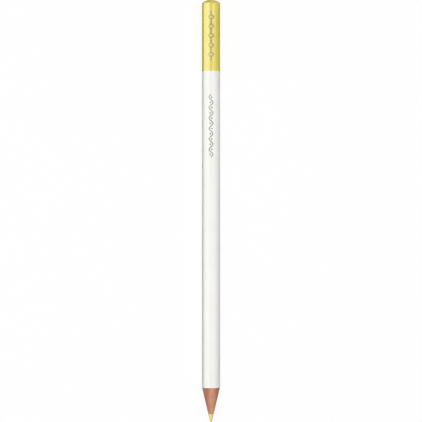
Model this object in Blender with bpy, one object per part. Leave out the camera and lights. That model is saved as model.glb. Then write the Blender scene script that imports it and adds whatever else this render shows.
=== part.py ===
"""Wood-cased coloured pencil with a round barrel, lying on its side with the point towards -Y.

The pieces follow the way such a pencil is made. A wax core is glued into the grooves of two cedar slats.
The casing is turned round, primed and lacquered white, its end is rounded and dipped in the core's
colour, and the other end is sharpened through every layer at once.

Lengths are in metres. Each piece is made in the pencil's own frame, whose Z axis is the pencil's axis, with
the tip at Z = 0. One empty turns that frame down, so that the pencil lies along Y and rests on Z = 0.
"""
import math

import bmesh
import bpy
import numpy as np
from mathutils import Matrix

# Driving dimensions
PENCIL_LENGTH = 0.176           # tip to the crown of the dipped end
BARREL_DIAMETER = 0.0075        # over the white lacquer
CORE_DIAMETER = 0.0022
POINT_ANGLE_DEGREES = 26.7      # full angle of the sharpened cone
TIP_RADIUS = 0.0004             # rounding of the core's tip
DIP_LENGTH = 0.0298             # lip to crown of the dipped end
DOME_HEIGHT = 0.00144           # bulge of the barrel's rounded end, before its shoulder is eased
SHOULDER_RADIUS = 0.00025       # easing between the barrel and its rounded end

# Films and fits
CORE_GLUE_THICKNESS = 0.00004
SEAM_GLUE_THICKNESS = 0.00005
PRIMER_THICKNESS = 0.00003
LACQUER_THICKNESS = 0.00005
DIP_THICKNESS = 0.00004
DIP_LIP_THICKNESS = 0.000015    # the dip runs out thin at its lip
DIP_LIP_TAPER = 0.0003          # length along which it thins
FIT_GAP = 0.00001               # clearance between pieces that touch

# Fineness of the turned shapes
FACETS = 36                     # a multiple of four, so that a flat facet faces each side
CROWN_STEPS = 6
SHOULDER_STEPS = 3
TIP_STEPS = 4
MERGE_DISTANCE = 0.000001
SHARP_ANGLE_DEGREES = 25.0

# Radii of the layers, from the axis outwards
CORE_RADIUS = CORE_DIAMETER / 2
SLEEVE_INNER = CORE_RADIUS + FIT_GAP
SLEEVE_OUTER = SLEEVE_INNER + CORE_GLUE_THICKNESS
GROOVE_RADIUS = SLEEVE_OUTER + FIT_GAP
LACQUER_OUTER = BARREL_DIAMETER / 2
LACQUER_INNER = LACQUER_OUTER - LACQUER_THICKNESS
PRIMER_OUTER = LACQUER_INNER - FIT_GAP
PRIMER_INNER = PRIMER_OUTER - PRIMER_THICKNESS
WOOD_RADIUS = PRIMER_INNER - FIT_GAP
DIP_OUTER = LACQUER_OUTER + FIT_GAP + DIP_THICKNESS

# Shared cuts: the sharpener's cone, the rounded end and the seam between the slats
HALF_POINT_ANGLE = math.radians(POINT_ANGLE_DEGREES) / 2
CONE_APEX = TIP_RADIUS - TIP_RADIUS / math.sin(HALF_POINT_ANGLE)
CROWN_RADIUS = (LACQUER_OUTER ** 2 + DOME_HEIGHT ** 2) / (2 * DOME_HEIGHT)
CROWN_CENTRE = PENCIL_LENGTH - DIP_THICKNESS - FIT_GAP - CROWN_RADIUS
SHOULDER_INSET = LACQUER_OUTER - SHOULDER_RADIUS    # the shoulder arc's centre, from the axis
SHOULDER_RISE = math.sqrt((CROWN_RADIUS - SHOULDER_RADIUS) ** 2 - SHOULDER_INSET ** 2)
SHOULDER_ANGLE = math.atan2(SHOULDER_RISE, SHOULDER_INSET)
DIP_LIP = PENCIL_LENGTH - DIP_LENGTH
SLAT_FACE = SEAM_GLUE_THICKNESS / 2 + FIT_GAP
FLAT_RATIO = math.cos(math.pi / FACETS)     # a facet's distance from the axis over its corners' radius


def clear_scene():
    """Remove every object, so that the script can be run again."""
    for obj in list(bpy.data.objects):
        bpy.data.objects.remove(obj, do_unlink=True)


def make_material(name, color, roughness):
    """Make a non-metal surface of one colour, given as linear red, green and blue."""
    material = bpy.data.materials.new(name)
    material.use_nodes = True
    material.diffuse_color = (*color, 1.0)
    shader = material.node_tree.nodes["Principled BSDF"]
    shader.inputs["Base Color"].default_value = (*color, 1.0)
    shader.inputs["Roughness"].default_value = roughness
    shader.inputs["Metallic"].default_value = 0.0
    return material


def cone_height(radius):
    """Height on the axis where the sharpened cone has this radius."""
    return CONE_APEX + radius / math.tan(HALF_POINT_ANGLE)


def arc(centre_radius, centre_height, arc_radius, angles):
    """Points of radius and height on an arc, at angles measured up from the outward direction."""
    return [
        (centre_radius + arc_radius * math.cos(angle), centre_height + arc_radius * math.sin(angle))
        for angle in angles
    ]


def dome_outline(growth):
    """Rounded end from rim to crown, a shoulder arc and a crown arc, grown outwards by a distance."""
    shoulder_angles = np.linspace(0.0, SHOULDER_ANGLE, SHOULDER_STEPS, endpoint=False)
    crown_angles = np.linspace(SHOULDER_ANGLE, math.pi / 2, CROWN_STEPS, endpoint=False)
    shoulder_height = CROWN_CENTRE + SHOULDER_RISE
    shoulder = arc(SHOULDER_INSET, shoulder_height, SHOULDER_RADIUS + growth, shoulder_angles)
    crown = arc(0.0, CROWN_CENTRE, CROWN_RADIUS + growth, crown_angles)
    return [*shoulder, *crown, (0.0, CROWN_CENTRE + CROWN_RADIUS + growth)]


def dome_between(inner, outer):
    """Stretch of the barrel's rounded end from an outer radius in to an inner one."""
    rim_to_crown = dome_outline(0.0)
    radii, heights = zip(*reversed(rim_to_crown))
    ends = np.interp([outer, inner], radii, heights)
    between = [point for point in rim_to_crown if inner < point[0] < outer]
    return [(outer, float(ends[0])), *between, (inner, float(ends[1]))]


def layer_outline(inner, outer):
    """Section of a layer that runs from the sharpened cone to the rounded end."""
    cut = [(inner, cone_height(inner)), (outer, cone_height(outer))]
    return cut + dome_between(inner, outer)


def core_outline():
    """Section of the core, from its rounded tip up the cone to the rounded end."""
    angles = np.linspace(-HALF_POINT_ANGLE, -math.pi / 2, TIP_STEPS, endpoint=False)
    tip = [(0.0, 0.0), *reversed(arc(0.0, TIP_RADIUS, TIP_RADIUS, angles))]
    return [*tip, (CORE_RADIUS, cone_height(CORE_RADIUS)), *dome_between(0.0, CORE_RADIUS)]


def dip_outline():
    """Section of the dipped end: its outside from crown to lip, then its inside from lip to crown."""
    outside = dome_outline(FIT_GAP + DIP_THICKNESS)
    inside = dome_outline(FIT_GAP)
    bore = inside[0][0]
    lip = [
        (DIP_OUTER, DIP_LIP + DIP_LIP_TAPER),
        (bore + DIP_LIP_THICKNESS, DIP_LIP),
        (bore, DIP_LIP),
    ]
    return [*reversed(outside), *lip, *inside]


def draw_outline(bm, outline, closed):
    """Draw an outline of radius and height points on the XZ plane as a chain of edges."""
    verts = [bm.verts.new((radius, 0.0, height)) for radius, height in outline]
    edges = [bm.edges.new(pair) for pair in zip(verts, verts[1:])]
    if closed:
        edges.append(bm.edges.new((verts[-1], verts[0])))
    return verts, edges


def turn(outline, closed):
    """Spin an outline about the axis into a closed mesh whose facets face the four sides squarely."""
    bm = bmesh.new()
    verts, edges = draw_outline(bm, outline, closed)
    half_facet = Matrix.Rotation(math.pi / FACETS, 3, "Z")
    bmesh.ops.rotate(bm, cent=(0.0, 0.0, 0.0), matrix=half_facet, verts=verts)
    bmesh.ops.spin(
        bm, geom=verts + edges, cent=(0.0, 0.0, 0.0), axis=(0.0, 0.0, 1.0),
        angle=2 * math.pi, steps=FACETS, use_merge=True,
    )
    bmesh.ops.remove_doubles(bm, verts=bm.verts, dist=MERGE_DISTANCE)
    bmesh.ops.recalc_face_normals(bm, faces=bm.faces)
    return bm


def split_off(bm, side):
    """Keep the half of a turned layer on one side of the seam, with flat closed faces at the seam."""
    bmesh.ops.bisect_plane(
        bm, geom=[*bm.verts, *bm.edges, *bm.faces], dist=MERGE_DISTANCE,
        plane_co=(0.0, side * SLAT_FACE, 0.0), plane_no=(0.0, side, 0.0), clear_inner=True,
    )
    rims = [edge for edge in bm.edges if edge.is_boundary]
    bmesh.ops.holes_fill(bm, edges=rims, sides=0)
    bmesh.ops.recalc_face_normals(bm, faces=bm.faces)
    return bm


def seam_plate(side):
    """Glue film between the slats on one side of the core, flush with the casing's facets."""
    bm = bmesh.new()
    outline = [
        (side * radius * FLAT_RATIO, height)
        for radius, height in layer_outline(GROOVE_RADIUS, WOOD_RADIUS)
    ]
    verts, _ = draw_outline(bm, outline, closed=True)
    face = bm.faces.new(verts)
    bmesh.ops.translate(bm, vec=(0.0, -SEAM_GLUE_THICKNESS / 2, 0.0), verts=verts)
    extruded = bmesh.ops.extrude_face_region(bm, geom=[face], use_keep_orig=True)
    moved = [item for item in extruded["geom"] if isinstance(item, bmesh.types.BMVert)]
    bmesh.ops.translate(bm, vec=(0.0, SEAM_GLUE_THICKNESS, 0.0), verts=moved)
    bmesh.ops.recalc_face_normals(bm, faces=bm.faces)
    return bm


def add_piece(name, bm, material, parent):
    """Turn a finished mesh into a named piece that hangs on the pencil's axis."""
    mesh = bpy.data.meshes.new(name)
    bm.to_mesh(mesh)
    bm.free()
    mesh.materials.append(material)
    mesh.shade_smooth()
    mesh.set_sharp_from_angle(angle=math.radians(SHARP_ANGLE_DEGREES))
    piece = bpy.data.objects.new(name, mesh)
    piece.parent = parent
    bpy.context.scene.collection.objects.link(piece)


def add_axis():
    """Empty that lays the pencil's own frame along Y, with its lowest facet on Z = 0."""
    axis = bpy.data.objects.new("pencil_axis", None)
    axis.rotation_euler = (-math.pi / 2, 0.0, 0.0)
    axis.location = (0.0, -PENCIL_LENGTH / 2, DIP_OUTER * FLAT_RATIO)
    bpy.context.scene.collection.objects.link(axis)
    return axis


def add_core(axis):
    """The wax core and the glue that holds it in the grooves."""
    wax = make_material("pale_yellow_wax", (0.80, 0.68, 0.25), 0.55)
    glue = make_material("core_glue", (0.72, 0.60, 0.38), 0.45)
    sleeve = layer_outline(SLEEVE_INNER, SLEEVE_OUTER)
    add_piece("color_core", turn(core_outline(), closed=False), wax, axis)
    add_piece("core_glue_sleeve", turn(sleeve, closed=True), glue, axis)


def add_casing(axis):
    """The two cedar slats and the glue between them, with the seam level when the pencil lies down."""
    cedar = make_material("cedar", (0.52, 0.23, 0.14), 0.65)
    glue = make_material("seam_glue", (0.72, 0.60, 0.38), 0.45)
    for name, side in (("upper_slat", -1.0), ("lower_slat", 1.0)):
        layer = turn(layer_outline(GROOVE_RADIUS, WOOD_RADIUS), closed=True)
        add_piece(name, split_off(layer, side), cedar, axis)
    for name, side in (("left_seam_glue", -1.0), ("right_seam_glue", 1.0)):
        add_piece(name, seam_plate(side), glue, axis)


def add_coats(axis):
    """The primer, the white lacquer and the dipped end."""
    primer = make_material("grey_white_primer", (0.72, 0.71, 0.68), 0.70)
    lacquer = make_material("white_lacquer", (0.88, 0.87, 0.84), 0.22)
    dip = make_material("pale_yellow_lacquer", (0.84, 0.71, 0.24), 0.22)
    primer_layer = layer_outline(PRIMER_INNER, PRIMER_OUTER)
    lacquer_layer = layer_outline(LACQUER_INNER, LACQUER_OUTER)
    add_piece("primer_coat", turn(primer_layer, closed=True), primer, axis)
    add_piece("white_lacquer_coat", turn(lacquer_layer, closed=True), lacquer, axis)
    add_piece("end_cap_dip", turn(dip_outline(), closed=False), dip, axis)


def main():
    """Build the pencil."""
    clear_scene()
    axis = add_axis()
    add_core(axis)
    add_casing(axis)
    add_coats(axis)


main()
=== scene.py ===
"""Looks of a round, wood-cased coloured pencil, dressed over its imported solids.

The pencil lies along Y with its point towards -Y, and the camera looks straight down on it. A point of a
turned piece is a radius and a station, which is the distance from the tip along the pencil's axis. Lengths
are in metres, and a name that ends in _mm is in millimetres.
"""

import logging
import math
from abc import ABC, abstractmethod
from dataclasses import dataclass, field
from enum import Enum
from typing import ClassVar

import bmesh
import bpy
import numpy as np
from bmesh.types import BMesh, BMVert
from bpy.types import Material, Mesh, Node, NodeSocket, NodeTree, Object
from mathutils import Euler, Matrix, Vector


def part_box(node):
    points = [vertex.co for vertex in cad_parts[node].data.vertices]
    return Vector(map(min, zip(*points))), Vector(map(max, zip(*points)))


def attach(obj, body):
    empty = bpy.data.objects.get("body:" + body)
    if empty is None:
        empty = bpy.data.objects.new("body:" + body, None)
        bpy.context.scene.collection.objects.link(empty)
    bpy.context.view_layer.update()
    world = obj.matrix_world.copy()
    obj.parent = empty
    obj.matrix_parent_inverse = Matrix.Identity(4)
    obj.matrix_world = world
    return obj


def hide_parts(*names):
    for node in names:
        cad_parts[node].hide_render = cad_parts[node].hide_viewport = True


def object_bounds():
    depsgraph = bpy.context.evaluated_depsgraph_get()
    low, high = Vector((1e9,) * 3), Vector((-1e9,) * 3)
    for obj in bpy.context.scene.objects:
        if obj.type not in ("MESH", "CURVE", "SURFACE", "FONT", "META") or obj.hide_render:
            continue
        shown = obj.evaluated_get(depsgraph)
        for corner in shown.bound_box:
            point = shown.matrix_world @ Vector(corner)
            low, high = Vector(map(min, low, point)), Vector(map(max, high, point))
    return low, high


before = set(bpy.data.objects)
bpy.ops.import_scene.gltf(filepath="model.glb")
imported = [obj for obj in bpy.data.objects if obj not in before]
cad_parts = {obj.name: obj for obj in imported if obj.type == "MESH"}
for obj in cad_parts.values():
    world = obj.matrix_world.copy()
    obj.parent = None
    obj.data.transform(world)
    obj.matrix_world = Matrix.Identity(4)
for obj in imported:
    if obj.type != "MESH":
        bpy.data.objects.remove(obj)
CAD_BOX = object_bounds()

LOG = logging.getLogger("pencil")
BODY = "root"                       # nothing on the pencil moves, so every piece rides on one body
MM = 0.001
FRAME_PIXELS = 422                  # side of the square picture
SEGMENTS = 192                      # chords round a turned piece
WELD = 0.001 * MM                   # points that lie closer than this become one
SHARP_ANGLE = math.radians(32.0)    # an edge that turns further than this stays sharp
ONE_BAND = math.tau / 20            # scale at which a wave texture has one band to a cell

# Sockets of a Mix node that blends two colours
MIX_SHARE = 0
MIX_FROM = 6
MIX_TO = 7

Point = tuple[float, float]
Profile = list[Point]
Position = tuple[float, float, float]
Colour = tuple[float, float, float, float]
Inputs = dict[str | int, object]
Sizes = dict[str, int | float | Position]

# Input socket of a Geometry Nodes tree for each kind of size
SIZE_SOCKETS = {int: "NodeSocketInt", float: "NodeSocketFloat", tuple: "NodeSocketVector"}


class CadNode(Enum):
    """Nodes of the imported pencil."""

    CORE = "color_core"
    CORE_GLUE = "core_glue_sleeve"
    UPPER_SLAT = "upper_slat"
    LOWER_SLAT = "lower_slat"
    LEFT_GLUE = "left_seam_glue"
    RIGHT_GLUE = "right_seam_glue"
    PRIMER = "primer_coat"
    LACQUER = "white_lacquer_coat"
    DIP = "end_cap_dip"


class Slot(Enum):
    """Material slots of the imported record."""

    CORE_WAX = "core_wax"
    WOOD_GLUE = "wood_glue"
    CEDAR = "cedar"
    PRIMER = "primer"
    WHITE_LACQUER = "white_lacquer"
    YELLOW_LACQUER = "yellow_lacquer"
    SILVER_FOIL = "silver_foil"
    GREY_INK = "grey_ink"


class Side(Enum):
    """Direction of a half of the pencil, along Z for a slat and along X for a glue line."""

    PLUS = 1.0
    MINUS = -1.0


class Bearing(Enum):
    """Direction of a light from the pencil's middle, in degrees from +X towards +Y."""

    RIGHT = 0.0
    CROWN = 90.0
    LEFT = 180.0
    TIP = 270.0


def srgb(code: str) -> Colour:
    """Turn an sRGB hex code into a linear colour.

    Args:
        code: Six hex digits.

    Returns:
        Linear red, green and blue, with alpha 1.
    """
    shares = [int(code[i:i + 2], 16) / 255 for i in (0, 2, 4)]
    linear = [share / 12.92 if share <= 0.04045 else ((share + 0.055) / 1.055) ** 2.4 for share in shares]
    return *linear, 1.0


def plug(tree: NodeTree, node: Node, inputs: Inputs) -> None:
    """Link or set a node's inputs.

    Args:
        tree: Tree of the node.
        node: Node whose inputs are given.
        inputs: Input name or number to a constant, or to a socket or a node, which is linked. A node stands
            for its first output in use.
    """
    for key, value in inputs.items():
        if isinstance(value, Node):
            value = next(socket for socket in value.outputs if socket.enabled)
        if isinstance(value, NodeSocket):
            tree.links.new(value, node.inputs[key])
        else:
            node.inputs[key].default_value = value


def add_node(tree: NodeTree, kind: str, inputs: Inputs | None = None, **settings: object) -> Node:
    """Add a node with its settings and inputs.

    Args:
        tree: Tree that gets the node.
        kind: Blender's type name of the node.
        inputs: Input name or number to a constant, a socket or a node.
        settings: Properties of the node.

    Returns:
        The new node.
    """
    node = tree.nodes.new(kind)
    for name, value in settings.items():
        setattr(node, name, value)
    plug(tree, node, inputs or {})
    return node


def node_radii(node: CadNode, axis_height: float) -> tuple[float, float]:
    """Find how near to the pencil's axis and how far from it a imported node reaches.

    Args:
        node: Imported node.
        axis_height: Z of the pencil's axis.

    Returns:
        Least and greatest radius of the node's corners.
    """
    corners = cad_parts[node.value].data.vertices
    radii = [math.hypot(corner.co.x, corner.co.z - axis_height) for corner in corners]
    return min(radii), max(radii)


@dataclass(frozen=True)
class PencilFrame:
    """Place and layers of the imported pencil, read from its nodes.

    Attributes:
        tip_y: Y of the tip.
        length: Tip to crown.
        axis_height: Z of the pencil's axis.
        half_angle: Angle between the sharpened cone and the axis.
        apex: Station of the cone's sharp apex, just before the tip.
        core_radius: Radius of the core.
        groove_radius: Radius of the groove in the slats.
        barrel_radius: Radius over the white lacquer.
        dip_lip: Station of the dipped end's lip.
    """

    tip_y: float
    length: float
    axis_height: float
    half_angle: float
    apex: float
    core_radius: float
    groove_radius: float
    barrel_radius: float
    dip_lip: float

    @classmethod
    def measure(cls) -> "PencilFrame":
        """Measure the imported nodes.

        Returns:
            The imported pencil.
        """
        lacquer_low, lacquer_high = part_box(CadNode.LACQUER.value)
        dip_low, dip_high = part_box(CadNode.DIP.value)
        tip_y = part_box(CadNode.CORE.value)[0].y
        axis_height = (lacquer_low.z + lacquer_high.z) / 2
        glue_inner, glue_outer = node_radii(CadNode.CORE_GLUE, axis_height)
        lacquer_inner, lacquer_outer = node_radii(CadNode.LACQUER, axis_height)
        glue_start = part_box(CadNode.CORE_GLUE.value)[0].y - tip_y
        lacquer_start = lacquer_low.y - tip_y
        slope = (lacquer_inner - glue_inner) / (lacquer_start - glue_start)
        return cls(
            tip_y=tip_y,
            length=dip_high.y - tip_y,
            axis_height=axis_height,
            half_angle=math.atan(slope),
            apex=glue_start - glue_inner / slope,
            core_radius=node_radii(CadNode.CORE, axis_height)[1],
            groove_radius=glue_outer,
            barrel_radius=lacquer_outer,
            dip_lip=dip_low.y - tip_y,
        )

    @property
    def tip_radius(self) -> float:
        """Radius of the small ball that rounds the cone's tip."""
        return -self.apex / (1 / math.sin(self.half_angle) - 1)

    def cone_station(self, radius: float) -> float:
        """Station where the cone has a radius."""
        return self.apex + radius / math.tan(self.half_angle)

    def cone_radius(self, station: float) -> float:
        """Radius of the cone at a station."""
        return (station - self.apex) * math.tan(self.half_angle)

    def axis_point(self, station: float) -> Position:
        """Point of the pencil's axis at a station."""
        return 0.0, self.tip_y + station, self.axis_height


def arc(centre: Point, radius: float, start: float, end: float, steps: int) -> Profile:
    """Lay points on an arc, both ends included.

    Args:
        centre: Radius and station of the arc's centre.
        radius: Radius of the arc.
        start: First angle, from the outward direction towards the crown.
        end: Last angle.
        steps: Number of chords.

    Returns:
        The points from start to end.
    """
    angles = np.linspace(start, end, steps + 1)
    return [(centre[0] + radius * math.cos(angle), centre[1] + radius * math.sin(angle)) for angle in angles]


@dataclass(frozen=True)
class RoundedEnd:
    """Rounded end of the barrel: a shoulder arc that leads into a flatter crown arc.

    Attributes:
        barrel_radius: Radius of the barrel that is rounded.
        crown: Station of the barrel's crown, under the dip.
        dome_height: Bulge of the crown arc over the barrel's edge.
        shoulder_radius: Easing of that edge.
        shoulder_steps: Chords of the shoulder arc.
        crown_steps: Chords of the crown arc.
    """

    barrel_radius: float
    crown: float
    dome_height: float = 1.44 * MM
    shoulder_radius: float = 0.25 * MM
    shoulder_steps: int = 8
    crown_steps: int = 20

    def outline(self, growth: float = 0.0) -> Profile:
        """Draw the profile from the rim to the crown.

        Args:
            growth: Distance by which the profile stands out from the barrel's own.

        Returns:
            Points with falling radius, the last one on the axis.
        """
        crown_radius = (self.barrel_radius ** 2 + self.dome_height ** 2) / (2 * self.dome_height)
        inset = self.barrel_radius - self.shoulder_radius
        rise = math.sqrt((crown_radius - self.shoulder_radius) ** 2 - inset ** 2)
        turn = math.atan2(rise, inset)
        centre = self.crown - crown_radius
        shoulder = arc((inset, centre + rise), self.shoulder_radius + growth, 0.0, turn, self.shoulder_steps)
        crown = arc((0.0, centre), crown_radius + growth, turn, math.pi / 2, self.crown_steps)
        return [*shoulder, *crown[1:-1], (0.0, crown[-1][1])]

    def between(self, inner: float, outer: float) -> Profile:
        """Draw the stretch of the profile from an outer radius in to an inner one.

        Args:
            inner: Radius of the last point.
            outer: Radius of the first point.

        Returns:
            Points with falling radius.
        """
        outline = self.outline()
        radii, stations = zip(*reversed(outline))
        first, last = np.interp([outer, inner], radii, stations)
        middle = [point for point in outline if inner < point[0] < outer]
        return [(outer, float(first)), *middle, (inner, float(last))]


@dataclass(frozen=True)
class SharpenedCut:
    """Surface that the sharpener leaves: a cone with faint steps round it.

    Attributes:
        place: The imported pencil.
        step: Distance between steps along the axis. Real steps, about 0.05 mm apart, are too fine to show.
        depth: Depth of a step.
    """

    place: PencilFrame
    step: float = 0.24 * MM
    depth: float = 0.004 * MM

    def profile(self, inner: float, outer: float) -> Profile:
        """Draw the stepped cone from an inner radius out to an outer one.

        Args:
            inner: Radius of the first point.
            outer: Radius of the last point.

        Returns:
            Points with rising station, every other one in the foot of a step.
        """
        start, end = self.place.cone_station(inner), self.place.cone_station(outer)
        count = max(2, round((end - start) / self.step) * 2)
        stations = np.linspace(start, end, count + 1)
        points = [(self.place.cone_radius(station) - self.depth * (i % 2), station)
                  for i, station in enumerate(stations)]
        return [(inner, start), *points[1:-1], (outer, end)]


@dataclass(frozen=True)
class Layers:
    """Radii of the pieces that touch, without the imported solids' clearances.

    Attributes:
        place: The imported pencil.
        lacquer_film: Thickness of the white lacquer.
        primer_film: Thickness of the primer.
        seam_film: Thickness of the glue between the slats.
        dip_film: Thickness of the dipped lacquer.
    """

    place: PencilFrame
    lacquer_film: float = 0.022 * MM
    primer_film: float = 0.01 * MM
    seam_film: float = 0.05 * MM
    dip_film: float = 0.03 * MM

    @property
    def primer_radius(self) -> float:
        """Radius over the primer."""
        return self.place.barrel_radius - self.lacquer_film

    @property
    def wood_radius(self) -> float:
        """Radius of the turned cedar."""
        return self.primer_radius - self.primer_film

    @property
    def dip_radius(self) -> float:
        """Radius over the dipped lacquer."""
        return self.place.barrel_radius + self.dip_film

    @property
    def end(self) -> RoundedEnd:
        """Rounded end under the dip."""
        return RoundedEnd(self.place.barrel_radius, self.place.length - self.dip_film)

    def section(self, inner: float, outer: float) -> Profile:
        """Draw a layer's closed section, out along the cone and back in over the rounded end."""
        cut = SharpenedCut(self.place).profile(inner, outer)
        return [*cut, *self.end.between(inner, outer)]


def new_object(name: str, mesh: Mesh) -> Object:
    """Put a mesh into the scene as an object at the origin.

    Args:
        name: Name of the object.
        mesh: Its mesh.

    Returns:
        The object.
    """
    piece = bpy.data.objects.new(name, mesh)
    bpy.context.scene.collection.objects.link(piece)
    return piece


def close_up(bm: BMesh, mesh: Mesh) -> None:
    """Weld seams and poles, point the faces out and keep the shape as a mesh with smooth round faces.

    Args:
        bm: Shape that is closed, and freed afterwards.
        mesh: Mesh that gets it.
    """
    bmesh.ops.remove_doubles(bm, verts=bm.verts, dist=WELD)
    bmesh.ops.recalc_face_normals(bm, faces=bm.faces)
    bm.to_mesh(mesh)
    bm.free()
    mesh.shade_smooth()
    mesh.set_sharp_from_angle(angle=SHARP_ANGLE)


def seat(piece: Object, node: CadNode | None = None) -> None:
    """Make a finished piece part of the pencil.

    Args:
        piece: Piece in its place.
        node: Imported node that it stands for, if any.
    """
    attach(piece, BODY)
    if node:
        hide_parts(node.value)
    LOG.info("%s: %d faces", piece.name, len(piece.data.polygons))


class NodeModel:
    """Geometry Nodes tree that makes pieces, with a named input for each of its sizes.

    Attributes:
        sizes: Input name to value.
        tree: The tree itself.
        given: The tree's inputs, as sockets to link from.
    """

    def __init__(self, name: str, sizes: Sizes) -> None:
        """Start the tree.

        Args:
            name: Name of the tree.
            sizes: Input name to value.
        """
        self.sizes = sizes
        self.tree = bpy.data.node_groups.new(name, "GeometryNodeTree")
        sockets = {"Geometry": "NodeSocketGeometry", "Material": "NodeSocketMaterial"}
        sockets.update((size, SIZE_SOCKETS[type(value)]) for size, value in sizes.items())
        for socket, kind in sockets.items():
            self.tree.interface.new_socket(socket, in_out="INPUT", socket_type=kind)
        self.tree.interface.new_socket("Geometry", in_out="OUTPUT", socket_type="NodeSocketGeometry")
        self.given = add_node(self.tree, "NodeGroupInput").outputs

    def end(self, geometry: Node) -> None:
        """End the tree in real geometry with a material.

        Args:
            geometry: Node that makes the geometry.
        """
        real = add_node(self.tree, "GeometryNodeRealizeInstances", {"Geometry": geometry})
        dressed = add_node(self.tree, "GeometryNodeSetMaterial", {
            "Geometry": real,
            "Material": self.given["Material"],
        })
        add_node(self.tree, "NodeGroupOutput", {"Geometry": dressed})

    def grow(self, name: str, seed: Mesh, finish: Material) -> Object:
        """Run the tree on a mesh, and keep the result as a plain closed mesh.

        Args:
            name: Name of the piece.
            seed: Mesh that feeds the tree.
            finish: Material of the piece.

        Returns:
            The piece.
        """
        piece = new_object(name, seed)
        modifier = piece.modifiers.new(name, "NODES")
        modifier.node_group = self.tree
        values = {**self.sizes, "Material": finish}
        for socket in self.tree.interface.items_tree:
            if socket.in_out == "INPUT" and socket.name in values:
                modifier[socket.identifier] = values[socket.name]
        graph = bpy.context.evaluated_depsgraph_get()
        made = bpy.data.meshes.new_from_object(piece.evaluated_get(graph))
        piece.modifiers.clear()
        piece.data = made
        bpy.data.meshes.remove(seed)
        made.name = name
        bm = bmesh.new()
        bm.from_mesh(made)
        close_up(bm, made)
        return piece


class Lathe(NodeModel):
    """Tree that sweeps a half section round the pencil's axis.

    Attributes:
        rim: Radius of the circle that the section is swept along.
    """

    LAY_DOWN: ClassVar[Euler] = Euler((math.pi / 2, 0.0, 0.0))      # turn that lays the swept piece along Y

    def __init__(self, place: PencilFrame) -> None:
        """Build the tree.

        Args:
            place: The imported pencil.
        """
        self.rim = place.barrel_radius
        super().__init__("turned_piece", {
            "Segments": SEGMENTS,
            "Rim Radius": self.rim,
            "Tip": place.axis_point(0.0),
        })
        section = add_node(self.tree, "GeometryNodeMeshToCurve", {"Mesh": self.given["Geometry"]})
        circle = add_node(self.tree, "GeometryNodeCurvePrimitiveCircle", {
            "Resolution": self.given["Segments"],
            "Radius": self.given["Rim Radius"],
        })
        upright = add_node(self.tree, "GeometryNodeSetCurveNormal", {"Curve": circle}, mode="Z_UP")
        swept = add_node(self.tree, "GeometryNodeCurveToMesh", {"Curve": upright, "Profile Curve": section})
        laid = add_node(self.tree, "GeometryNodeTransform", {
            "Geometry": swept,
            "Translation": self.given["Tip"],
            "Rotation": self.LAY_DOWN,
        })
        self.end(laid)

    def turn(self, name: str, section: Profile, finish: Material) -> Object:
        """Turn a half section into a piece.

        Args:
            name: Name of the piece.
            section: Points round the section. A side of it that lies on the axis is left out of the sweep.
            finish: Material of the piece.

        Returns:
            The piece, in its place.
        """
        count = len(section)
        sides = [(i, (i + 1) % count) for i in range(count)]
        edges = [(i, j) for i, j in sides if max(section[i][0], section[j][0]) > 0.0]
        outline = bpy.data.meshes.new(name)
        outline.from_pydata([(radius - self.rim, station, 0.0) for radius, station in section], edges, [])
        return self.grow(name, outline, finish)


@dataclass(frozen=True)
class Pattern:
    """Uneven pattern of spots or streaks.

    Attributes:
        across_mm: Size of a spot across the pencil.
        along_mm: Size of a spot along the pencil.
        detail: Number of finer patterns within it.
    """

    across_mm: float
    along_mm: float
    detail: float = 2.0

    def cells(self, tree: NodeTree) -> Node:
        """Lay a grid over the pencil in which a spot measures 1.

        Args:
            tree: Tree of the material.

        Returns:
            Node that gives the grid's coordinates.
        """
        spot = add_node(tree, "ShaderNodeTexCoord")
        return add_node(tree, "ShaderNodeMapping", {
            "Vector": spot.outputs["Object"],
            "Scale": [1 / (size * MM) for size in (self.across_mm, self.along_mm, self.across_mm)],
        })

    def lay(self, tree: NodeTree) -> Node:
        """Lay the pattern over the pencil.

        Args:
            tree: Tree of the material.

        Returns:
            Node that gives the pattern's strength, from 0 to 1.
        """
        return add_node(tree, "ShaderNodeTexNoise", {
            "Vector": self.cells(tree),
            "Scale": 1.0,
            "Detail": self.detail,
        })


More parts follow.
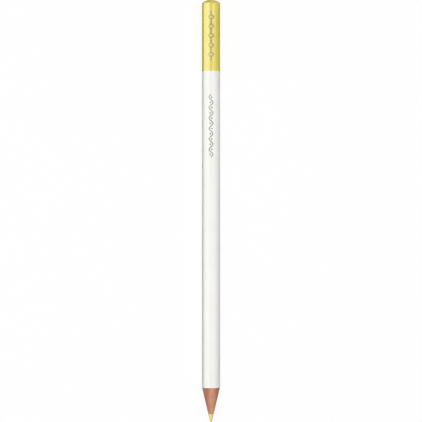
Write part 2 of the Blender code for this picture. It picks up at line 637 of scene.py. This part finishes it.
@dataclass(frozen=True)
class Finish:
    """Surface of a material: two shades of a colour, a gloss, and a relief unless it is a thin film.

    Attributes:
        name: Common name of the material, and how its surface was made.
        colour: Colour between the spots.
        shade: Colour of the spots.
        spots: Pattern of the shade.
        roughness: Mean roughness.
        marks: Pattern of the relief.
        depth_mm: Depth of the relief.
        dulling: Change of roughness from the foot of the relief to its top.
        ior: Index of refraction.
        specular: Strength of the gloss, 0.5 for what the index of refraction gives.
        metallic: 1 for a metal.
    """

    name: str
    colour: str
    shade: str
    spots: Pattern
    roughness: float
    marks: Pattern | None = None
    depth_mm: float = 0.0
    dulling: float = 0.0
    ior: float = 1.5
    specular: float = 0.5
    metallic: float = 0.0

    def tint(self, tree: NodeTree) -> Node:
        """Mix the two shades.

        Args:
            tree: Tree of the material.

        Returns:
            Node that gives the colour.
        """
        return add_node(tree, "ShaderNodeMix", {
            MIX_SHARE: self.spots.lay(tree),
            MIX_FROM: srgb(self.colour),
            MIX_TO: srgb(self.shade),
        }, data_type="RGBA")

    def height(self, tree: NodeTree) -> Node:
        """Lay the pattern of the relief."""
        return self.marks.lay(tree)

    def emboss(self, tree: NodeTree, shader: Node) -> None:
        """Give the surface its relief, and a roughness that follows it.

        Args:
            tree: Tree of the material.
            shader: Shader of the material.
        """
        height = self.height(tree)
        relief = add_node(tree, "ShaderNodeBump", {"Height": height, "Distance": self.depth_mm * MM})
        plug(tree, shader, {"Normal": relief})
        if self.dulling:
            dull = add_node(tree, "ShaderNodeMapRange", {
                "Value": height,
                "To Min": self.roughness - self.dulling / 2,
                "To Max": self.roughness + self.dulling / 2,
            })
            plug(tree, shader, {"Roughness": dull})

    def make(self) -> Material:
        """Build the material.

        Returns:
            The material.
        """
        material = bpy.data.materials.new(self.name)
        material.use_nodes = True
        tree = material.node_tree
        shader = tree.nodes["Principled BSDF"]
        plug(tree, shader, {
            "Base Color": self.tint(tree),
            "Roughness": self.roughness,
            "IOR": self.ior,
            "Specular IOR Level": self.specular,
            "Metallic": self.metallic,
        })
        if self.marks:
            self.emboss(tree, shader)
        return material


@dataclass(frozen=True)
class WhiteLacquer(Finish):
    """Nitrocellulose lacquer, pulled on in thin coats."""

    # Gives the eye a wet gloss on a warm white, a little duller along the drag lines of the coats. Real drag
    # lines lie closer together, too fine to show.
    name: str = "white_lacquer_pulled_coats"
    colour: str = "f1f0ec"
    shade: str = "eeede8"
    spots: Pattern = Pattern(across_mm=6.0, along_mm=6.0)
    roughness: float = 0.15
    marks: Pattern = Pattern(across_mm=1.1, along_mm=60.0, detail=3.0)
    depth_mm: float = 0.0012
    dulling: float = 0.06
    ior: float = 1.46
    specular: float = 0.64


@dataclass(frozen=True)
class YellowDip(Finish):
    """Tinted lacquer that the pencil's end was dipped in."""

    # Gives the eye a deep, clear gloss with two broad reflections, over a yellow that deepens in slow runs.
    name: str = "yellow_lacquer_dipped"
    colour: str = "e4d45b"
    shade: str = "dfcf55"
    spots: Pattern = Pattern(across_mm=2.4, along_mm=24.0)
    roughness: float = 0.2
    marks: Pattern = Pattern(across_mm=2.4, along_mm=24.0)
    depth_mm: float = 0.0006
    ior: float = 1.53
    specular: float = 1.0


@dataclass(frozen=True)
class WaxCore(Finish):
    """Wax and pigment, pressed into a rod and cut by the sharpener."""

    # Gives the eye a soft, greasy shine on a pale yellow, broken by fine marks round the point. The wax
    # bloom and the marks are really finer, too fine to show.
    name: str = "pigmented_wax_sharpened"
    colour: str = "d9ca66"
    shade: str = "e0d172"
    spots: Pattern = Pattern(across_mm=0.25, along_mm=0.25, detail=3.0)
    roughness: float = 0.24
    marks: Pattern = Pattern(across_mm=1.6, along_mm=0.16)
    depth_mm: float = 0.001
    specular: float = 1.0


@dataclass(frozen=True)
class SilverFoil(Finish):
    """Aluminised foil, stamped on hot."""

    # Gives the eye a dull grey mirror. The stamp's crumples are really smaller, too fine to show.
    name: str = "aluminium_foil_hot_stamped"
    colour: str = "a5a08a"
    shade: str = "a19c86"
    spots: Pattern = Pattern(across_mm=0.35, along_mm=0.35)
    roughness: float = 0.5
    marks: Pattern = Pattern(across_mm=0.35, along_mm=0.35)
    depth_mm: float = 0.01
    dulling: float = 0.2
    metallic: float = 1.0


@dataclass(frozen=True)
class GreyInk(Finish):
    """Grey ink, printed on the lacquer."""

    # Gives the eye a flat line, mottled where the ink wetted the lacquer unevenly. The mottle is really
    # finer, too fine to show.
    name: str = "grey_ink_printed"
    colour: str = "6c6c69"
    shade: str = "82827e"
    spots: Pattern = Pattern(across_mm=0.4, along_mm=0.4)
    roughness: float = 0.5


@dataclass(frozen=True)
class CoreGlue(Finish):
    """Wood glue that dried round the core."""

    # Gives the eye a thin amber line between the core and the wood.
    name: str = "wood_glue_round_core"
    colour: str = "b98555"
    shade: str = "a87346"
    spots: Pattern = Pattern(across_mm=0.8, along_mm=0.8)
    roughness: float = 0.5


@dataclass(frozen=True)
class SeamGlue(Finish):
    """Wood glue that dried between the slats."""

    # Gives the eye a thin brown line down each side of the cone.
    name: str = "wood_glue_in_seam"
    colour: str = "a8714f"
    shade: str = "8f5c3f"
    spots: Pattern = Pattern(across_mm=0.8, along_mm=0.8)
    roughness: float = 0.5


@dataclass(frozen=True)
class Primer(Finish):
    """Matt primer, pulled on under the lacquer."""

    # Gives the eye a chalky edge between the wood and the lacquer.
    name: str = "matt_primer_coat"
    colour: str = "e8e6e0"
    shade: str = "dedbd3"
    spots: Pattern = Pattern(across_mm=0.8, along_mm=0.8)
    roughness: float = 0.75


@dataclass(frozen=True)
class Cedar(Finish):
    """Incense cedar that the sharpener has cut across its grain. Its spots are the fibres.

    Attributes:
        axis_height: Z of the pencil's axis.
        skin_radius: Radius of the turned cedar, under the primer.
        pale_from: Strength of the fibres' pattern at which a fibre begins to pale.
        pale_to: Strength at which it is at its palest.
        dark: Colour of late wood, which also paints the shade on the cone's flanks, and of the painted
            shadow line under the lacquer's edge.
        rings: Pattern of the yearly rings, sized so that they also paint the shade on the cone's flanks.
        ring_waver: Sideways waver of a ring.
        ring_ripples: Number of wavers to a ring.
        painted_light_offset_mm: Distance of a ring's palest line from the pencil's middle, towards +X; it
            paints the light down the cone's middle.
        late_wood_and_shade_share: Share of the dark colour in the middle of the late wood, which also paints
            the shade on the cone's flanks.
        shade_line_mm: Depth of the painted shadow line under the lacquer's edge.
        shade_line_share: Share of the dark colour in that painted shadow line, at the very skin.
    """

    # Gives the eye a dry reddish brown in straight streaks, paler down the middle of the cone, with a fine
    # tooth across the grain. The paler middle and the darker flanks are painted light and shade, laid in as
    # the yearly rings. Real fibres are 0.03 to 0.04 mm wide and real cutting marks about 0.05 mm apart, too
    # fine to show.
    name: str = "incense_cedar_sharpened"
    colour: str = "bd8166"
    shade: str = "d79d82"
    spots: Pattern = Pattern(across_mm=0.5, along_mm=5.0, detail=4.0)
    roughness: float = 0.68
    marks: Pattern = Pattern(across_mm=2.4, along_mm=0.2)
    depth_mm: float = 0.02
    ior: float = 1.45
    specular: float = 0.15
    axis_height: float = field(kw_only=True)
    skin_radius: float = field(kw_only=True)
    pale_from: float = 0.3
    pale_to: float = 0.7
    dark: str = "99563b"
    # The rings' size and phase also paint the light down the cone's middle and the shade on its flanks.
    rings: Pattern = Pattern(across_mm=5.2, along_mm=31.2)
    ring_waver: float = 0.5
    ring_ripples: float = 3.0
    painted_light_offset_mm: float = 0.5
    late_wood_and_shade_share: float = 0.55
    # Painted shadow line under the lacquer's edge.
    shade_line_mm: float = 0.1
    shade_line_share: float = 0.8

    def rings_and_painted_shade(self, tree: NodeTree) -> Node:
        """Lay the yearly rings, which run along the pencil, with their dark late wood on the cone's flanks
        and their palest line near its middle: grain, and also painted shade and painted light.

        Args:
            tree: Tree of the material.

        Returns:
            Node that gives the share of the dark colour.
        """
        # The phase puts the palest line near the cone's middle and the late wood on its flanks: painted
        # light and shade as well as grain.
        rings = add_node(tree, "ShaderNodeTexWave", {
            "Vector": self.rings.cells(tree),
            "Scale": ONE_BAND,
            "Distortion": self.ring_waver,
            "Detail Scale": self.ring_ripples,
            "Phase Offset": -math.tau * self.painted_light_offset_mm / self.rings.across_mm,
        }, wave_type="BANDS", bands_direction="X", wave_profile="SIN")
        return add_node(tree, "ShaderNodeMath", {
            0: rings.outputs["Fac"],
            1: self.late_wood_and_shade_share,
        }, operation="MULTIPLY")

    def painted_shade_line(self, tree: NodeTree) -> Node:
        """Darken the outermost wood in a thin painted shadow line under the lacquer's edge.

        Args:
            tree: Tree of the material.

        Returns:
            Node that gives the share of the dark colour.
        """
        spot = add_node(tree, "ShaderNodeTexCoord")
        from_axis = add_node(tree, "ShaderNodeMapping", {
            "Vector": spot.outputs["Object"],
            "Location": (0.0, 0.0, -self.axis_height),
            "Scale": (1.0, 0.0, 1.0),
        })
        radius = add_node(tree, "ShaderNodeVectorMath", {0: from_axis}, operation="LENGTH")
        # Painted shadow line: the dark colour rises over the outermost wood, just under the lacquer's edge.
        return add_node(tree, "ShaderNodeMapRange", {
            "Value": radius,
            "From Min": self.skin_radius - self.shade_line_mm * MM,
            "From Max": self.skin_radius,
            "To Max": self.shade_line_share,
        })

    def tint(self, tree: NodeTree) -> Node:
        """Streak the early wood with its fibres, and darken the late wood, which also paints the shade on
        the cone's flanks, and the painted shadow line under the lacquer.

        Args:
            tree: Tree of the material.

        Returns:
            Node that gives the colour.
        """
        streak = add_node(tree, "ShaderNodeMapRange", {
            "Value": self.spots.lay(tree),
            "From Min": self.pale_from,
            "From Max": self.pale_to,
        })
        early = add_node(tree, "ShaderNodeMix", {
            MIX_SHARE: streak,
            MIX_FROM: srgb(self.colour),
            MIX_TO: srgb(self.shade),
        }, data_type="RGBA")
        darker = add_node(tree, "ShaderNodeMath", {
            0: self.rings_and_painted_shade(tree),
            1: self.painted_shade_line(tree),
        }, operation="ADD")
        return add_node(tree, "ShaderNodeMix", {
            MIX_SHARE: darker,
            MIX_FROM: early,
            MIX_TO: srgb(self.dark),
        }, data_type="RGBA")

    def height(self, tree: NodeTree) -> Node:
        """Break the fibres by the marks of the blade.

        Args:
            tree: Tree of the material.

        Returns:
            Node that gives the height of the relief.
        """
        return add_node(tree, "ShaderNodeMath", {
            0: self.spots.lay(tree),
            1: self.marks.lay(tree),
        }, operation="MULTIPLY")


@dataclass
class TurnedAssembly:
    """Sub-assembly whose pieces are turned.

    Attributes:
        layers: Radii of the pencil's layers.
        lathe: Lathe that turns the pieces.
    """

    layers: Layers
    lathe: Lathe

    def turn(self, name: str, section: Profile, finish: Finish, slot: Slot, node: CadNode) -> None:
        """Turn a piece that has a finish of its own, and make it part of the pencil."""
        seat(self.lathe.turn(name, section, finish.make()), node)


@dataclass
class ColourCore(TurnedAssembly):
    """The wax core and the glue that holds it.

    Attributes:
        tip_steps: Chords of the rounded tip.
    """

    tip_steps: int = 10

    def rod(self) -> Profile:
        """Draw the section of the core, from its rounded tip up the cone to the rounded end.

        Returns:
            A section that begins and ends on the axis.
        """
        place = self.layers.place
        ball = place.tip_radius
        tip = arc((0.0, ball), ball, -math.pi / 2, -place.half_angle, self.tip_steps)
        cut = SharpenedCut(place).profile(tip[-1][0], place.core_radius)
        return [(0.0, 0.0), *tip[1:], *cut[1:], *self.layers.end.between(0.0, place.core_radius)]

    def build(self) -> None:
        """Make the core and its glue."""
        place = self.layers.place
        ring = self.layers.section(place.core_radius, place.groove_radius)
        self.turn("wax_core", self.rod(), WaxCore(), Slot.CORE_WAX, CadNode.CORE)
        self.turn("core_glue_ring", ring, CoreGlue(), Slot.WOOD_GLUE, CadNode.CORE_GLUE)


@dataclass
class CedarCasing(TurnedAssembly):
    """The two cedar slats and the glue lines between them."""

    @property
    def section(self) -> Profile:
        """Section of the casing."""
        return self.layers.section(self.layers.place.groove_radius, self.layers.wood_radius)

    def slat(self, name: str, side: Side, finish: Material) -> Object:
        """Turn the casing and keep the half on one side of the seam.

        Args:
            name: Name of the piece.
            side: Side of the seam, along Z.
            finish: Material of the cedar.

        Returns:
            The slat, closed along the seam.
        """
        piece = self.lathe.turn(name, self.section, finish)
        seam = self.layers.place.axis_height + side.value * self.layers.seam_film / 2
        bm = bmesh.new()
        bm.from_mesh(piece.data)
        bmesh.ops.bisect_plane(
            bm, geom=[*bm.verts, *bm.edges, *bm.faces], dist=WELD,
            plane_co=(0.0, 0.0, seam), plane_no=(0.0, 0.0, side.value), clear_inner=True,
        )
        rims = [edge for edge in bm.edges if edge.is_boundary]
        bmesh.ops.holes_fill(bm, edges=rims, sides=0)
        close_up(bm, piece.data)
        return piece

    def glue_line(self, name: str, side: Side, finish: Material) -> Object:
        """Make the film of glue between the slats on one side of the core.

        Args:
            name: Name of the piece.
            side: Side of the core, along X.
            finish: Material of the glue.

        Returns:
            The glue line.
        """
        place = self.layers.place
        film = self.layers.seam_film
        foot = place.axis_height - film / 2
        bm = bmesh.new()
        verts = [bm.verts.new((side.value * radius, place.tip_y + station, foot))
                 for radius, station in self.section]
        sheet = bm.faces.new(verts)
        raised = bmesh.ops.extrude_face_region(bm, geom=[sheet], use_keep_orig=True)
        tops = [item for item in raised["geom"] if isinstance(item, BMVert)]
        bmesh.ops.translate(bm, vec=(0.0, 0.0, film), verts=tops)
        mesh = bpy.data.meshes.new(name)
        close_up(bm, mesh)
        mesh.materials.append(finish)
        return new_object(name, mesh)

    def build(self) -> None:
        """Make the slats and the glue lines."""
        cedar = Cedar(axis_height=self.layers.place.axis_height, skin_radius=self.layers.wood_radius).make()
        glue = SeamGlue().make()
        seat(self.slat("cedar_upper_half", Side.PLUS, cedar), CadNode.UPPER_SLAT)
        seat(self.slat("cedar_lower_half", Side.MINUS, cedar), CadNode.LOWER_SLAT)
        seat(self.glue_line("seam_glue_left", Side.MINUS, glue), CadNode.LEFT_GLUE)
        seat(self.glue_line("seam_glue_right", Side.PLUS, glue), CadNode.RIGHT_GLUE)


@dataclass
class PaintCoats(TurnedAssembly):
    """The primer, the white lacquer and the dipped end.

    Attributes:
        lip_radius: Rounding of the dip's lip.
        lip_share: Thickness of the lip's edge, as a share of the dip's film.
        lip_steps: Chords of the rounded lip.
    """

    lip_radius: float = 0.25 * MM
    lip_share: float = 0.3
    lip_steps: int = 8

    def dip_section(self) -> Profile:
        """Draw the section of the dip.

        Returns:
            A section up its outer side from the lip, over the crown and back down inside.
        """
        film = self.layers.dip_film
        bore = self.layers.place.barrel_radius
        lip = self.layers.place.dip_lip
        centre = (self.layers.dip_radius - self.lip_radius, lip + self.lip_radius)
        rounding = arc(centre, self.lip_radius, -math.pi / 2, 0.0, self.lip_steps)
        edge = [(max(radius, bore + film * self.lip_share), station) for radius, station in rounding]
        inside = list(reversed(self.layers.end.outline()))
        return [(bore, lip), *edge, *self.layers.end.outline(film), *inside]

    def build(self) -> None:
        """Make the three coats."""
        layers = self.layers
        under = layers.section(layers.wood_radius, layers.primer_radius)
        over = layers.section(layers.primer_radius, layers.place.barrel_radius)
        self.turn("primer_film", under, Primer(), Slot.PRIMER, CadNode.PRIMER)
        self.turn("white_lacquer_barrel", over, WhiteLacquer(), Slot.WHITE_LACQUER, CadNode.LACQUER)
        self.turn("yellow_dipped_end", self.dip_section(), YellowDip(), Slot.YELLOW_LACQUER, CadNode.DIP)


class Drawing(NodeModel):
    """Tree of thin flat line work that is wrapped round the top of the pencil.

    In the flat drawing X runs across the pencil, Y along it and Z away from it. The sizes name the stroke,
    the dot radius, the film, the surface radius and the centre, besides those of the ornament itself.
    """

    STROKE_CUTS: ClassVar[int] = 3      # cuts across a line, so that it bends with the barrel
    DOT_SIDES: ClassVar[int] = 20       # corners round a dot
    DOT_RINGS: ClassVar[int] = 3        # rings of faces in a dot, so that it bends with the barrel

    def band(self, path: Node) -> Node:
        """Draw a path as a thin closed band.

        Args:
            path: Node that makes curves in the flat drawing.

        Returns:
            Node that makes the band, half of its thickness over the drawing.
        """
        level = add_node(self.tree, "GeometryNodeSetCurveNormal", {"Curve": path}, mode="Z_UP")
        outline = add_node(self.tree, "GeometryNodeCurvePrimitiveQuadrilateral", {
            "Width": self.given["Stroke"],
            "Height": self.given["Film"],
        })
        bendable = add_node(self.tree, "GeometryNodeSubdivideCurve", {
            "Curve": outline,
            "Cuts": self.STROKE_CUTS,
        })
        return add_node(self.tree, "GeometryNodeCurveToMesh", {
            "Curve": level,
            "Profile Curve": bendable,
            "Fill Caps": True,
        })

    def dots(self, points: Node) -> Node:
        """Set a round dot on each point.

        Args:
            points: Node that makes points in the flat drawing.

        Returns:
            Node that makes the dots, half of their thickness over the drawing.
        """
        dot = add_node(self.tree, "GeometryNodeMeshCylinder", {
            "Vertices": self.DOT_SIDES,
            "Fill Segments": self.DOT_RINGS,
            "Radius": self.given["Dot Radius"],
            "Depth": self.given["Film"],
        })
        return add_node(self.tree, "GeometryNodeInstanceOnPoints", {"Points": points, "Instance": dot})

    def wrap(self, *shapes: Node) -> None:
        """Wrap the flat drawing round the pencil and end the tree.

        Args:
            shapes: Nodes that make the drawing's shapes.
        """
        joined = add_node(self.tree, "GeometryNodeJoinGeometry")
        for shape in shapes:
            plug(self.tree, joined, {"Geometry": shape})
        real = add_node(self.tree, "GeometryNodeRealizeInstances", {"Geometry": joined})
        spot = add_node(self.tree, "GeometryNodeInputPosition")
        flat = add_node(self.tree, "ShaderNodeSeparateXYZ", {"Vector": spot})
        turn = add_node(self.tree, "ShaderNodeMath", {
            0: flat.outputs["X"],
            1: self.given["Surface Radius"],
        }, operation="DIVIDE")
        reach = add_node(self.tree, "ShaderNodeMath", {
            0: flat.outputs["Z"],
            1: self.given["Surface Radius"],
        }, operation="ADD")
        top = add_node(self.tree, "ShaderNodeCombineXYZ", {"Y": flat.outputs["Y"], "Z": reach})
        bent = add_node(self.tree, "ShaderNodeVectorRotate", {
            "Vector": top,
            "Angle": turn,
        }, rotation_type="Y_AXIS")
        placed = add_node(self.tree, "ShaderNodeVectorMath", {
            0: bent,
            1: self.given["Centre"],
        }, operation="ADD")
        wrapped = add_node(self.tree, "GeometryNodeSetPosition", {"Geometry": real, "Position": placed})
        self.end(wrapped)


def row_start(count: int, pitch: float) -> Position:
    """First point of a row along Y that is centred on the origin."""
    return 0.0, -(count - 1) / 2 * pitch, 0.0


@dataclass
class Ornament(ABC):
    """Line work of one thin film on top of the pencil.

    Attributes:
        layers: Radii of the pencil's layers.
        name: Name of the piece.
        finish: Finish of the film.
        slot: Material slot of the imported record for its finish; not used.
        station: Station of the ornament's centre.
        stroke: Width of a line.
        dot_radius: Radius of a dot.
        film: Thickness of the film, half of it sunk into what carries it.
    """

    layers: Layers
    name: str
    finish: Finish
    slot: Slot
    station: float
    stroke: float
    dot_radius: float
    film: float = 0.01 * MM

    def drawing(self, surface_radius: float, sizes: Sizes) -> Drawing:
        """Start the ornament's drawing.

        Args:
            surface_radius: Radius of the surface that carries it.
            sizes: Input name to value, besides those that every ornament has.

        Returns:
            The drawing.
        """
        return Drawing(self.name, {
            **sizes,
            "Stroke": self.stroke,
            "Dot Radius": self.dot_radius,
            "Film": self.film,
            "Surface Radius": surface_radius,
            "Centre": self.layers.place.axis_point(self.station),
        })

    @abstractmethod
    def draw(self) -> Drawing:
        """Draw the ornament, each kind in its own way."""

    def build(self) -> None:
        """Make the ornament and put it on the pencil."""
        seed = bpy.data.meshes.new(self.name)
        seat(self.draw().grow(self.name, seed, self.finish.make()))


@dataclass
class FoilChain(Ornament):
    """Row of stamped foil lozenges and dots along the dipped end.

    Attributes:
        links: Number of lozenges. A dot stands before, between and after them.
        pitch: Distance between lozenges.
        width: Size of a lozenge across the pencil.
        length: Size of a lozenge along the pencil.
        side_cuts: Cuts along a lozenge's side, so that it bends with the barrel.
    """

    name: str = "foil_chain"
    finish: Finish = SilverFoil()
    slot: Slot = Slot.SILVER_FOIL
    station: float = 160.8 * MM
    stroke: float = 0.38 * MM
    dot_radius: float = 0.36 * MM
    links: int = 5
    pitch: float = 3.9 * MM
    width: float = 2.5 * MM
    length: float = 2.3 * MM
    side_cuts: int = 6

    def draw(self) -> Drawing:
        """Draw the row.

        Returns:
            The drawing.
        """
        dots = self.links + 1
        row = self.drawing(self.layers.dip_radius, {
            "Width": self.width,
            "Half Length": self.length / 2,
            "Side Cuts": self.side_cuts,
            "Links": self.links,
            "First Link": row_start(self.links, self.pitch),
            "Dots": dots,
            "First Dot": row_start(dots, self.pitch),
            "Step": (0.0, self.pitch, 0.0),
        })
        lozenge = add_node(row.tree, "GeometryNodeCurvePrimitiveQuadrilateral", {
            "Width": row.given["Width"],
            "Bottom Height": row.given["Half Length"],
            "Top Height": row.given["Half Length"],
        }, mode="KITE")
        bendable = add_node(row.tree, "GeometryNodeSubdivideCurve", {
            "Curve": lozenge,
            "Cuts": row.given["Side Cuts"],
        })
        seats = add_node(row.tree, "GeometryNodeMeshLine", {
            "Count": row.given["Links"],
            "Start Location": row.given["First Link"],
            "Offset": row.given["Step"],
        })
        chain = add_node(row.tree, "GeometryNodeInstanceOnPoints", {
            "Points": seats,
            "Instance": row.band(bendable),
        })
        gaps = add_node(row.tree, "GeometryNodeMeshLine", {
            "Count": row.given["Dots"],
            "Start Location": row.given["First Dot"],
            "Offset": row.given["Step"],
        })
        row.wrap(chain, row.dots(gaps))
        return row


@dataclass
class PrintedVine(Ornament):
    """Wavy printed line along the barrel, with a dot in each of its bays.

    Attributes:
        length: Length of the line.
        waves: Number of its waves.
        wave_steps: Chords of a wave.
        swing: Reach of a wave to each side.
        dot_share: Reach of a dot to the other side of the line, as a share of the swing.
    """

    name: str = "printed_vine"
    finish: Finish = GreyInk()
    slot: Slot = Slot.GREY_INK
    station: float = 123.3 * MM
    stroke: float = 0.34 * MM
    dot_radius: float = 0.32 * MM
    length: float = 26.0 * MM
    waves: int = 6
    wave_steps: int = 24
    swing: float = 0.8 * MM
    dot_share: float = 0.4

    def draw(self) -> Drawing:
        """Draw the line and its dots.

        Returns:
            The drawing.
        """
        dots = 2 * self.waves
        dot_pitch = self.length / dots
        vine = self.drawing(self.layers.place.barrel_radius, {
            "Start": (0.0, -self.length / 2, 0.0),
            "End": (0.0, self.length / 2, 0.0),
            "Points": self.waves * self.wave_steps,
            "Turn Per Metre": math.tau * self.waves / self.length,
            "Swing": self.swing,
            "Dot Swing": -self.dot_share * self.swing,
            "Dots": dots,
            "First Dot": row_start(dots, dot_pitch),
            "Dot Step": (0.0, dot_pitch, 0.0),
        })
        spot = add_node(vine.tree, "GeometryNodeInputPosition")
        flat = add_node(vine.tree, "ShaderNodeSeparateXYZ", {"Vector": spot})
        turn = add_node(vine.tree, "ShaderNodeMath", {
            0: flat.outputs["Y"],
            1: vine.given["Turn Per Metre"],
        }, operation="MULTIPLY")
        sine = add_node(vine.tree, "ShaderNodeMath", {0: turn}, operation="SINE")
        sway = add_node(vine.tree, "ShaderNodeCombineXYZ", {"X": sine})
        wave = add_node(vine.tree, "ShaderNodeVectorMath", {
            "Vector": sway,
            "Scale": vine.given["Swing"],
        }, operation="SCALE")
        bay = add_node(vine.tree, "ShaderNodeVectorMath", {
            "Vector": sway,
            "Scale": vine.given["Dot Swing"],
        }, operation="SCALE")
        line = add_node(vine.tree, "GeometryNodeCurvePrimitiveLine", {
            "Start": vine.given["Start"],
            "End": vine.given["End"],
        })
        fine = add_node(vine.tree, "GeometryNodeResampleCurve", {
            "Curve": line,
            "Count": vine.given["Points"],
        })
        stem = add_node(vine.tree, "GeometryNodeSetPosition", {"Geometry": fine, "Offset": wave})
        row = add_node(vine.tree, "GeometryNodeMeshLine", {
            "Count": vine.given["Dots"],
            "Start Location": vine.given["First Dot"],
            "Offset": vine.given["Dot Step"],
        })
        bays = add_node(vine.tree, "GeometryNodeSetPosition", {"Geometry": row, "Offset": bay})
        vine.wrap(vine.band(stem), vine.dots(bays))
        return vine


@dataclass(frozen=True)
class Panel:
    """Soft panel that faces the pencil and lights its colours, without a reflection.

    Attributes:
        name: Name of the panel.
        bearing: Direction from the pencil.
        lean: Angle from straight above, in degrees.
        width: Size in the direction of the lean.
        radiance: Brightness, where the floor is about 1.
        distance: Distance from the pencil.
        length: Size across the direction of the lean.
    """

    LIGHTS_COLOURS: ClassVar[bool] = True

    name: str
    bearing: Bearing
    lean: float
    width: float
    radiance: float
    distance: float
    length: float

    def hang(self, axis_height: float) -> None:
        """Hang the panel so that it faces the pencil's middle.

        Args:
            axis_height: Z of the pencil's axis.
        """
        light = bpy.data.lights.new(self.name, "AREA")
        light.shape = "RECTANGLE"
        light.size = self.width
        light.size_y = self.length
        light.energy = self.radiance * math.pi * self.width * self.length
        turn = Euler((0.0, math.radians(self.lean), math.radians(self.bearing.value)))
        away = turn.to_matrix() @ Vector((0.0, 0.0, self.distance))
        panel = bpy.data.objects.new(self.name, light)
        panel.location = away + Vector((0.0, 0.0, axis_height))
        panel.rotation_euler = turn
        panel.visible_camera = False
        panel.visible_diffuse = self.LIGHTS_COLOURS
        panel.visible_glossy = not self.LIGHTS_COLOURS
        bpy.context.scene.collection.objects.link(panel)


@dataclass(frozen=True)
class Strip(Panel):
    """Long panel that only shows as a reflection in the pencil's gloss."""

    LIGHTS_COLOURS: ClassVar[bool] = False

    distance: float = 0.6
    length: float = 1.2


PANELS = (
    Panel("overhead", Bearing.RIGHT, lean=0.0, width=1.0, radiance=2.72, distance=0.8, length=0.9),
    Panel("left_fill", Bearing.LEFT, lean=52.0, width=0.55, radiance=0.83, distance=0.7, length=0.9),
    Panel("right_fill", Bearing.RIGHT, lean=80.0, width=0.4, radiance=1.23, distance=0.7, length=0.9),
    Panel("crown_fill", Bearing.CROWN, lean=118.0, width=1.0, radiance=2.9, distance=1.6, length=1.8),
    Panel("tip_fill", Bearing.TIP, lean=75.0, width=1.0, radiance=0.3, distance=1.6, length=1.8),
    Panel("table_glow", Bearing.RIGHT, lean=180.0, width=1.6, radiance=0.9, distance=0.25, length=1.6),
    Strip("left_low_strip", Bearing.LEFT, lean=72.5, width=0.56, radiance=2.9),
    Strip("left_high_strip", Bearing.LEFT, lean=32.5, width=0.32, radiance=2.6),
    Strip("right_high_strip", Bearing.RIGHT, lean=25.0, width=0.16, radiance=1.8),
    Strip("right_low_strip", Bearing.RIGHT, lean=52.5, width=0.44, radiance=1.0),
)


@dataclass
class Studio:
    """Pale floor, soft lights and the camera over the pencil.

    Attributes:
        place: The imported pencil.
        camera_height: Distance from the lens to the pencil's axis.
        sensor_mm: Width of the camera's sensor.
        crown_row: Picture row of the crown, in pixels.
        tip_row: Picture row of the tip, in pixels.
        floor_size: Side of the square floor.
        floor_colour: Colour of the floor's surface, on which the pencil's shadow falls.
        light_colour: Colour of the light from below the floor and from all round.
        floor_glow: Brightness of the light that comes through the floor.
        ambient: Brightness of the surroundings that lights the pencil.
        backdrop: Brightness of the surroundings in the picture.
    """

    place: PencilFrame
    camera_height: float = 1.0
    sensor_mm: float = 36.0
    crown_row: float = -0.2
    tip_row: float = 422.0
    floor_size: float = 6.0
    floor_colour: str = "505050"
    light_colour: str = "ffffff"
    floor_glow: float = 0.91
    ambient: float = 0.05
    backdrop: float = 0.97

    def set_camera(self) -> None:
        """Place the camera so that the pencil runs from the crown's row to the tip's row."""
        pixel = self.place.length / (self.tip_row - self.crown_row)
        lens = bpy.data.cameras.new("over_pencil")
        lens.sensor_width = self.sensor_mm
        lens.lens = self.sensor_mm * self.camera_height / (pixel * FRAME_PIXELS)
        camera = bpy.data.objects.new("over_pencil", lens)
        below = self.place.axis_point((self.tip_row - FRAME_PIXELS / 2) * pixel)
        camera.location = Vector(below) + Vector((0.0, 0.0, self.camera_height))
        bpy.context.scene.collection.objects.link(camera)
        bpy.context.scene.camera = camera

    def lay_floor(self) -> None:
        """Lay a pale sheet, lit from below, under the pencil."""
        half = self.floor_size / 2
        corners = [(-half, -half), (half, -half), (half, half), (-half, half)]
        mesh = bpy.data.meshes.new("pale_floor")
        mesh.from_pydata([(x, y, CAD_BOX[0].z) for x, y in corners], [], [(0, 1, 2, 3)])
        # Opal sheet, lit from below: gives the eye an even white, on which a shadow hardly shows.
        sheet = bpy.data.materials.new("opal_sheet_lit_from_below")
        sheet.use_nodes = True
        plug(sheet.node_tree, sheet.node_tree.nodes["Principled BSDF"], {
            "Base Color": srgb(self.floor_colour),
            "Roughness": 1.0,
            "Specular IOR Level": 0.0,
            "Emission Color": srgb(self.light_colour),
            "Emission Strength": self.floor_glow,
        })
        mesh.materials.append(sheet)
        floor = new_object("pale_floor", mesh)
        floor.visible_diffuse = False
        floor.visible_glossy = False
        floor.visible_shadow = False

    def fill_surroundings(self) -> None:
        """Surround the pencil with an even grey, which is a pale backdrop in the picture."""
        world = bpy.data.worlds.new("grey_studio")
        world.use_nodes = True
        tree = world.node_tree
        path = add_node(tree, "ShaderNodeLightPath")
        level = add_node(tree, "ShaderNodeMapRange", {
            "Value": path.outputs["Is Camera Ray"],
            "To Min": self.ambient,
            "To Max": self.backdrop,
        })
        plug(tree, tree.nodes["Background"], {
            "Color": srgb(self.light_colour),
            "Strength": level,
        })
        bpy.context.scene.world = world

    def build(self) -> None:
        """Set up the whole studio."""
        bpy.context.scene.view_settings.view_transform = "Standard"
        self.set_camera()
        self.lay_floor()
        self.fill_surroundings()
        for panel in PANELS:
            panel.hang(self.place.axis_height)


def main() -> None:
    """Dress the pencil and set up the studio."""
    logging.basicConfig(level=logging.INFO, format="%(name)s: %(message)s")
    place = PencilFrame.measure()
    LOG.info("frame: %s", place)
    layers = Layers(place)
    lathe = Lathe(place)
    ColourCore(layers, lathe).build()
    CedarCasing(layers, lathe).build()
    PaintCoats(layers, lathe).build()
    FoilChain(layers).build()
    PrintedVine(layers).build()
    Studio(place).build()


if __name__ == "__main__":
    main()
